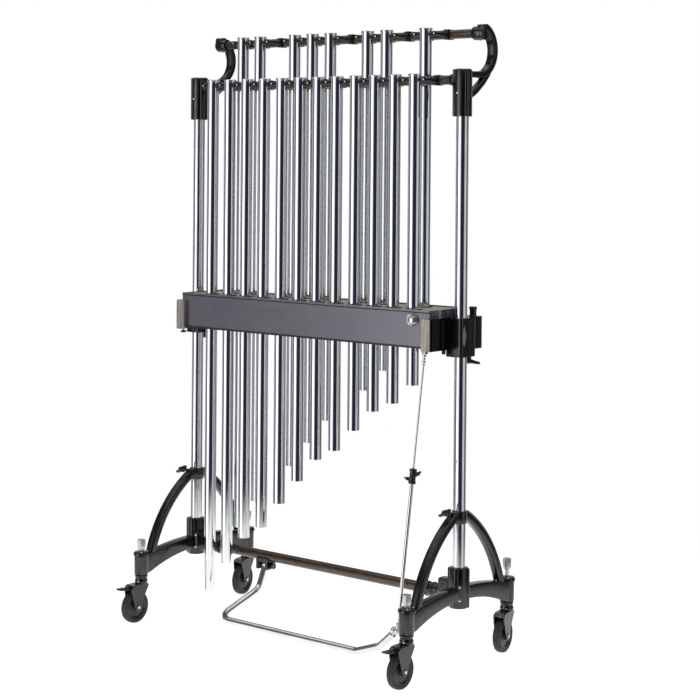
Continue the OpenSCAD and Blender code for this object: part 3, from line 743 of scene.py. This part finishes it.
def make_brace(side_name):
    """Pointed arch of two rounded legs and the collar that clamps the post."""
    x = SIDES[side_name] * POST_X
    bm = bmesh.new()
    rise = degrees(asin((COLLAR[1] - 8 - BRACE_CENTRE[1]) / BRACE_R))
    foot = degrees(asin((BRACE_FOOT - BRACE_CENTRE[1]) / BRACE_R))
    for s in (-1, 1):
        leg = [(s * y, z) for y, z in arc_points(BRACE_CENTRE, BRACE_R, rise, foot, BRACE_STEPS)]
        add_ribbon(bm, leg, (28, 30), (25, 27), x, 8, 5)
        ridge = arc_points(BRACE_CENTRE, BRACE_R + 12.5, rise - 2, foot + 4, BRACE_STEPS)
        for rib_x in (-8.5, 8.5):
            add_ribbon(bm, [(s * y, z) for y, z in ridge], (4, 4), (4, 4), x + rib_x, 1.8, 3)
    add_lathe(bm, tube_wall_profile(SLEEVE_BORE, 23, COLLAR[0], COLLAR[1], 2), (x, 0, 0), sides=56,
              closed=True)
    piece("brace_%s_cast" % side_name, bm, "casting", "stand", ("brace_" + side_name,), edge=0.5)


def make_stem_caps():
    """Black flange caps and fluted silver levelling knobs on their studs."""
    caps = bmesh.new()
    knobs = bmesh.new()
    screws = bmesh.new()
    for side in SIDES.values():
        for s, lift in ((-1, 4), (1, 22)):
            at = (side * POST_X, s * STEM_REACH, STEM_TOP)
            add_lathe(caps, [(0, 0), (24.5, 0), (26, 1.2), (26, 6), (24.8, 9.5), (21.5, 12.5),
                             (12, 14), (0, 14)], at, sides=64)
            add_lathe(knobs, [(0, 13), (6, 13), (6, 14 + lift), (9.5, 14 + lift), (11.5, 16 + lift),
                              (11.5, 19 + lift), (13, 20 + lift), (13, 45 + lift), (12, 47 + lift),
                              (8, 48 + lift), (0, 48 + lift)], at, sides=96, flutes=(16, 0.05))
            for turn in (45, 135, 225, 315):
                place = Vector(at) + Vector((19 * cos(radians(turn)), 19 * sin(radians(turn)), 12.4))
                add_lathe(screws, bolt_profile(3.2, 2.4), place, sides=16)
    piece("stem_flanges", caps, "casting", "stand", ("stem_caps",), edge=0.3)
    piece("levelling_knobs", knobs, "bright_steel", "stand", edge=0.2)
    piece("flange_screws", screws, "bright_steel", "stand")


def add_wing(bm, origin, direction, turn, span, boss_r, reach):
    """A wing screw: stud, tapered boss and two thick rounded wings."""
    place = along(origin, direction) @ Matrix.Rotation(radians(turn), 4, "Z")
    far = Vector(origin) + Vector(direction).normalized() * reach
    add_rod(bm, origin, far, boss_r * 0.5, 0.5, 20)
    add_lathe(bm, [(0, 0), (boss_r, 0), (boss_r, 4), (boss_r * 0.75, boss_r * 1.7),
                   (boss_r * 0.5, boss_r * 2), (0, boss_r * 2)], far, direction, 32)
    for s in (-1, 1):
        wing = [(s * boss_r * 0.5, -boss_r * 0.1), (s * span * 0.36, -boss_r * 0.3),
                (s * span * 0.5, boss_r * 0.2), (s * span * 0.5, boss_r * 1.2),
                (s * span * 0.38, boss_r * 1.5), (s * boss_r * 0.5, boss_r * 0.9)]
        flat = place @ Matrix.Translation((0, 0, reach + boss_r * 0.3)) @ Matrix.Rotation(pi / 2, 4, "X")
        add_prism(bm, wing, -boss_r * 0.28, boss_r * 0.56, flat)


def make_collar_knobs():
    """A wing screw in the front of each brace's collar."""
    bm = bmesh.new()
    for side in SIDES.values():
        add_wing(bm, (side * POST_X, -22, 459), (0, -1, 0.24), 35, 42, 10, 42)
    piece("collar_wing_screws", bm, "black_plastic", "stand", ("collar_knobs",), edge=1.2, segments=3)


def make_cross_bracket():
    """Socket for each end of the cross tube, with a clamped collar and a web to the post's socket."""
    bm = bmesh.new()
    z = centre_of("cross_tube").z
    web_start = 484
    for side in SIDES.values():
        add_lathe(bm, tube_wall_profile(16.1, 21, 430, 492, 2), (0, 0, z), (side, 0, 0), 48, True)
        for rim in (430, 452, 474):
            add_lathe(bm, tube_wall_profile(20, 23, rim, rim + 8, 2), (0, 0, z), (side, 0, 0), 48, True)
        outline = rounded_box((-20, z - 23), (20, z + 44), 9)
        reach = POST_X - 27 - web_start
        start = web_start if side > 0 else -web_start - reach
        add_prism(bm, outline, start, reach, YZ)
        add_lathe(bm, bolt_profile(4.5, 3.5), (side * 500, -19.6, z + 26), (0, -1, 0), 6)
    piece("cross_bracket_castings", bm, "casting", "stand", ("cross_brackets",), edge=1.0)


make_cross_bracket()
for name in SIDES:
    make_base(name)
    make_brace(name)
make_stem_caps()
make_collar_knobs()


# ---- Casters ----

WHEEL_R = 52
TRAIL = 28                     # how far the axle trails behind the stem
AXLE = (0, -TRAIL, WHEEL_R)
CHEEK_X = 17                   # middle of a cheek's thickness
REAR_TURN = 10                 # degrees that the rear casters stand turned


def corner_place(name):
    """Where a caster's stem stands, turned as its wheel trails."""
    sx, sy = CORNERS[name]
    turn = radians(REAR_TURN if sy > 0 else 0)
    return PLACE @ Matrix.Translation((sx * POST_X, sy * STEM_REACH, 0)) @ Matrix.Rotation(turn, 4, "Z")


def make_fork(name):
    """Swivel neck with a rounded crown and two curved cheeks."""
    bm = bmesh.new()
    add_lathe(bm, [(0, 112), (16, 112), (18, 114), (18, 120), (20, 122), (21, 126), (21, 134),
                   (19.5, 137), (19.5, 143), (21, 145), (21, 149), (19, 150.6), (0, 150.6)],
              (0, 0, 0), sides=56)
    cheek = [(8, 124), (-8, 124.5), (-36, 124), (-53, 120), (-57.5, 114), (-55, 92), (-47, 66)]
    cheek += arc_points((-TRAIL, WHEEL_R), 14, 215, 335, 10)
    cheek += [(-12, 66), (2, 92), (14, 112), (16, 120)]
    for s in (-1, 1):
        add_prism(bm, cheek, s * CHEEK_X - 2, 4, YZ)
        add_lathe(bm, [(0, 19), (9, 19), (9, 19.6), (7, 20.5), (0, 20.5)], AXLE, (s, 0, 0), 32)
    add_block(bm, (-CHEEK_X, -50, 119), (CHEEK_X, 14, 124.4))
    add_block(bm, (-CHEEK_X, -55, 114), (CHEEK_X, -49, 122))
    piece("fork_" + name, bm, "casting", "caster_" + name, ("caster_fork_" + name,),
          corner_place(name), edge=1.5, segments=3)
    bm = bmesh.new()
    for s in (-1, 1):
        add_lathe(bm, bolt_profile(5.5, 1.6), (s * 20.2, -TRAIL, WHEEL_R), (s, 0, 0), 6)
    for turn in (20, 110, 200, 290):
        out = Vector((cos(radians(turn)), sin(radians(turn)), 0))
        add_lathe(bm, bolt_profile(2.6, 2), out * 20.2 + Vector((0, 0, 130)), out, 16)
    piece("fork_screws_" + name, bm, "bright_steel", "caster_" + name, place=corner_place(name))


def make_wheel(name):
    """Rubber tyre with two tread grooves on a ribbed hub."""
    tyre = bmesh.new()
    add_lathe(tyre, [(38, -11), (42, -12.6), (47, -12.4), (50.6, -9.8), (51.7, -6), (52, -4.4),
                     (51.2, -4), (51.2, -3.4), (52, -3), (52, 3), (51.2, 3.4), (51.2, 4), (52, 4.4),
                     (51.7, 6), (50.6, 9.8), (47, 12.4), (42, 12.6), (38, 11)], AXLE, ACROSS, 96, True)
    piece("tyre_" + name, tyre, "rubber_wheel", "wheel_" + name, ("caster_wheel_" + name,),
          corner_place(name))
    hub = bmesh.new()
    web = [(5.2, 13.5), (12, 13.5), (13.5, 12), (14, 9), (20, 8.2), (20.6, 9.2), (22.4, 9.2), (23, 8),
           (30, 7.4), (33, 10), (36, 10.6), (38.4, 11.4)]
    add_lathe(hub, [(r, -x) for r, x in web] + web[::-1], AXLE, ACROSS, 72, True)
    add_rod(hub, (-CHEEK_X, *AXLE[1:]), (CHEEK_X, *AXLE[1:]), 5, 0.5, 24)
    piece("hub_" + name, hub, "black_plastic", "wheel_" + name, place=corner_place(name), edge=0.5)


def make_brake(side_name):
    """Foot lever with a curled treadle, a ribbed pad and its pivot."""
    name = "front_" + side_name
    bm = bmesh.new()
    sole = [(-46, 112), (-60, 112.5), (-76, 115), (-90, 117.5), (-99, 118.5)]
    add_ribbon(bm, sole, (22, 24), (7, 5.5), 0, 2)
    for i in range(4):
        add_block(bm, (-10, -96 + 6 * i, 119), (10, -93 + 6 * i, 120.8))
    add_rod(bm, (-14.6, -52, 112), (14.6, -52, 112), 3.5, 0.5, 20)
    piece("brake_%s_treadle" % side_name, bm, "black_plastic", "brake_" + side_name,
          ("brake_lever_" + side_name,), corner_place(name), edge=0.8)


for name in CORNERS:
    make_fork(name)
    make_wheel(name)
for name in SIDES:
    make_brake(name)


# ---- Hangers ----

HANGER_PITCH = 76
FRONT_PLACES = [k - 6 for k in range(13)]
REAR_PLACES = [k - 5.5 for k in range(12)]
PRONG = 66.5                   # from the rail's middle to the cord
CLAMP_FACE = 14.9              # where the clamp is cut flat
CLAMP_W = 18


def make_hangers():
    """Ribbed clamps on both rails, each with a prong that reaches over its row of tubes."""
    clamps = bmesh.new()
    tips = bmesh.new()
    for rail, places, back in (("front_rail", FRONT_PLACES, 1.0), ("rear_rail", REAR_PLACES, 3.0)):
        middle = centre_of(rail)
        outline = rounded_box((-15 - back, -15.4), (15 + back, 15.4), 6, 5)
        outline = [(max(min(y, CLAMP_FACE), -17), z) for y, z in outline]
        ring = [(y * 1.015, z * 1.015) for y, z in outline if y < CLAMP_FACE - 0.1] + [(CLAMP_FACE, 0)]
        on_rail = Matrix.Translation((0, middle.y, middle.z)) @ YZ
        for place in places:
            at = Vector((place * HANGER_PITCH, middle.y, middle.z))
            add_prism(clamps, outline, at.x - CLAMP_W / 2, CLAMP_W, on_rail)
            for rib in (-6, 0, 6):
                add_prism(clamps, ring, at.x + rib - 1.2, 2.4, on_rail)
            add_lathe(clamps, [(0, 14), (10, 14), (10, 30), (8, 34), (5, 36), (5, PRONG + 3),
                               (7.5, PRONG + 4), (7.5, PRONG + 9), (6, PRONG + 11), (0, PRONG + 11)],
                      at, (0, -1, 0), 28)
            add_lathe(tips, bolt_profile(3, 2), at - Vector((0, PRONG + 9.6, 0)), (0, -1, 0), 16)
            for s in (-1, 1):
                add_lathe(tips, bolt_profile(2.4, 1.8), at + Vector((s * 5, -8, 15.2)), sides=14)
    piece("hanger_clamps", clamps, "black_plastic", "frame", ("tube_pegs",), edge=0.5)
    piece("hanger_screws", tips, "bright_steel", "frame")


make_hangers()


# ---- Damper box fittings ----

BOX_LO, BOX_HI = local("damper_box")
BOX_LIP = 2                    # how far the box's rim stands out from its walls
HOLE_R = 25.4                  # a tube's hole in the plate, and its collar's outside
HOLE_COLLAR_R = 28.6


def make_box_beads_and_collars():
    """Dark beads under the upper lip and along the lower rim, and collars around the holes. The upper bead
    is painted shade under the lip.
    """
    bm = bmesh.new()
    front, rear = BOX_LO.y + BOX_LIP, BOX_HI.y - BOX_LIP
    # The upper bead is painted shade, a dark strip where the lip shades the wall below it; the lower one
    # is a dark band along the lower rim.
    for z, high, proud in ((BOX_HI.z - 8.5, 3.5, 1.4), (BOX_LO.z + 0.2, 5.5, 2.3)):
        add_block(bm, (BOX_LO.x - 0.2, front - proud, z), (BOX_HI.x + 0.2, front, z + high))
        add_block(bm, (BOX_LO.x - 0.2, rear, z), (BOX_HI.x + 0.2, rear + proud, z + high))
    piece("box_shade_and_rim_beads", bm, "black_plastic", "frame", edge=0.4)
    rings = bmesh.new()
    top = local("damper_tray")[1].z
    for node in TUBES:
        middle = centre_of(node)
        add_lathe(rings, tube_wall_profile(HOLE_R, HOLE_COLLAR_R, top - 5, top + 1.6, 0.8),
                  (middle.x, middle.y, 0), sides=48, closed=True)
    piece("hole_collars", rings, "black_plastic", "frame")


def make_box_bolt():
    """Dished washer with a raised rim under a bright domed bolt."""
    middle = centre_of("box_bolts")
    at = (middle.x, BOX_LO.y + BOX_LIP, middle.z)
    washer = bmesh.new()
    add_lathe(washer, [(0, 0), (22, 0), (22, 2.6), (20.5, 4), (18, 3.6), (14.5, 2.2), (0, 2.2)], at,
              (0, -1, 0), 64)
    piece("bolt_washer", washer, "box_paint", "frame", ("box_bolts",))
    bolt = bmesh.new()
    add_lathe(bolt, [(0, 2), (12.5, 2), (12.5, 4), (11, 5), (11, 11), (9.6, 14), (6, 15.7), (0, 16)],
              at, (0, -1, 0), 48)
    piece("bolt_dome", bolt, "bright_steel", "frame")


PLATE_X = (511.3, 523.3)       # inner and outer face of the plate beside the box
FLANGE_X = 491                 # inner edge of the flange in front of the box
PLATE_Z = (946, 1042)
CLAMP_Z = 926                  # underside of the clamp around the post
STAND = Matrix(((1, 0, 0, 0), (0, 0, -1, 0), (0, 1, 0, 0), (0, 0, 0, 1)))    # local Y becomes Z


def make_bracket(side_name):
    """Clamp casting around the post, with the plate and the front flange that carry the box."""
    side = SIDES[side_name]
    inner, plate = PLATE_X
    low, high = PLATE_Z
    flange_back = BOX_LO.y - 0.3
    flange_front = local("damper_bracket_" + side_name)[0].y
    flip = PLACE @ Matrix.Diagonal((side, 1, 1, 1))
    bm = bmesh.new()

    def upright(corner_a, corner_b, r, z0, z1):
        add_prism(bm, rounded_box(corner_a, corner_b, r), z0, z1 - z0)

    upright((inner, flange_front + 2), (plate, 92), 2, low, high)
    upright((inner + 1, -60), (plate + 2.5, -54), 1, low + 6, high - 6)
    upright((inner, -32), (POST_X + 26, 44), 10, CLAMP_Z, high)
    upright((POST_X - 16, 30), (POST_X + 14, 94), 8, low, high)
    upright((POST_X + 22, -14), (POST_X + 26.3, 14), 1.5, CLAMP_Z + 6, high - 6)
    add_lathe(bm, [(0, 0), (12, 0), (12, 3), (10.5, 4), (10.5, 20), (12, 21), (12, 28), (10, 30), (0, 30)],
              (POST_X, 62, high - 0.5), sides=40, flutes=(12, 0.06))
    lever_x = POST_X + 4
    add_rod(bm, (lever_x, 34, 903), (lever_x, 34, CLAMP_Z + 1), 9, 1)
    grip = [(2, 914), (22, 913), (42, 909), (62, 904), (78, 901)]
    add_ribbon(bm, grip, (18, 26), (16, 8), lever_x, 3.5)
    add_rod(bm, (inner + 6, -46, low - 12), (inner + 6, -46, low + 1), 6, 1)
    if side < 0:
        add_wing(bm, (inner + 5, -98, low + 1), (0, 0, -1), 70, 20, 4.5, 7)
    for s in (-1, 1):
        add_lathe(bm, bolt_profile(4, 3), (POST_X + s * 18, -20, high - 0.5), sides=20)
    piece("bracket_%s_cast" % side_name, bm, "casting", "frame",
          ("damper_bracket_" + side_name,), flip, edge=1.2, segments=3)
    # The lozenge and the front flange take a pale colour that paints the light falling on the bracket's
    # black paint.
    face = bmesh.new()
    lozenge = [(0, -32), (9, -8), (9, 8), (0, 32), (-9, 8), (-9, -8)]
    add_prism(face, lozenge, POST_X + 25.4, 1.5, Matrix.Translation((0, -18, (low + high) / 2 - 6)) @ YZ)
    outline = rounded_box((FLANGE_X, low), (plate, high), 4)
    add_prism(face, outline, -flange_back, flange_back - flange_front, STAND)
    piece("bracket_%s_flange" % side_name, face, "flange_painted_light", "frame", (), flip, edge=1.5,
          segments=3)


make_box_beads_and_collars()
make_box_bolt()
for name in SIDES:
    make_bracket(name)


# ---- Pull rod ----

ROD_X = 488
ROD_FOOT = Vector((ROD_X, -219.7, PEDAL_EYE.z))
CRANK_PIN = Vector((ROD_X, -95.5, 968))
ROD_RUN = CRANK_PIN - ROD_FOOT
ROD_LENGTH = ROD_RUN.length
LOWER_END = 466                # distances up the rod, from its foot
LOCK_START, LOCK_END = 424, 468
UPPER_START = 284              # the upper rod's end inside the lower one
CONNECTOR = 66                 # length of the ribbed connector and the links under the crank's pin


def on_rod(distance, across=0):
    """A point up the rod from its foot."""
    return ROD_FOOT + ROD_RUN.normalized() * distance + Vector((across, 0, 0))


def make_rods():
    """Lower rod with its eye and nut, the lock with its two wing screws, and the upper rod."""
    lower = bmesh.new()
    add_lathe(lower, [(0, 9), (4.5, 9), (5.5, 11), (5.5, LOWER_END - 3), (4.2, LOWER_END), (0, LOWER_END)],
              ROD_FOOT, ROD_RUN, 32)
    add_lathe(lower, tube_wall_profile(4.1, 11, -3.7, 3.7, 1), ROD_FOOT, ACROSS, 40, True)
    add_lathe(lower, [(0, 6), (7.5, 8), (7.5, 22), (6, 25), (0, 26)], ROD_FOOT, ROD_RUN, 6)
    piece("lower_rod_bar", lower, "chrome_bar", "lower_rod", ("lower_rod",))
    lock = bmesh.new()
    low, high = LOCK_START, LOCK_END
    add_lathe(lock, [(6.2, low), (10, low), (11, low + 1), (11, low + 8), (9.5, low + 9), (9.5, high - 9),
                     (11, high - 8), (11, high - 1), (10, high), (3.2, high)], ROD_FOOT, ROD_RUN, 40)
    for s in (-1, 1):
        add_wing(lock, on_rod((low + high) / 2 + 9 * s, 8 * s), (s, 0, 0), 25, 26, 5.5, 6)
    piece("rod_lock_collar", lock, "black_plastic", "lower_rod", ("rod_lock",), edge=0.8)
    upper = bmesh.new()
    start, end = UPPER_START, ROD_LENGTH - CONNECTOR
    add_lathe(upper, [(0, start), (2.5, start), (3, start + 1), (3, end), (0, end)], ROD_FOOT, ROD_RUN, 24)
    for k in range(5):
        foot = end - 2 + k * 9
        width = 6.5 if k % 2 else 5
        add_lathe(upper, [(0, foot), (width * 0.6, foot), (width, foot + 2), (width, foot + 6),
                          (width * 0.6, foot + 8), (0, foot + 8)], ROD_FOOT, ROD_RUN, 28)
    for s in (-1, 1):
        add_block(upper, (-1.4, -6, -16), (1.4, 6, 24), along(on_rod(ROD_LENGTH - 16, 5.4 * s), ROD_RUN))
    add_rod(upper, CRANK_PIN - 9 * ACROSS, CRANK_PIN + 9 * ACROSS, 2.5, 0.4, 20)
    piece("upper_rod_bar", upper, "chrome_bar", "upper_rod", ("upper_rod",), edge=0.3)


make_rods()
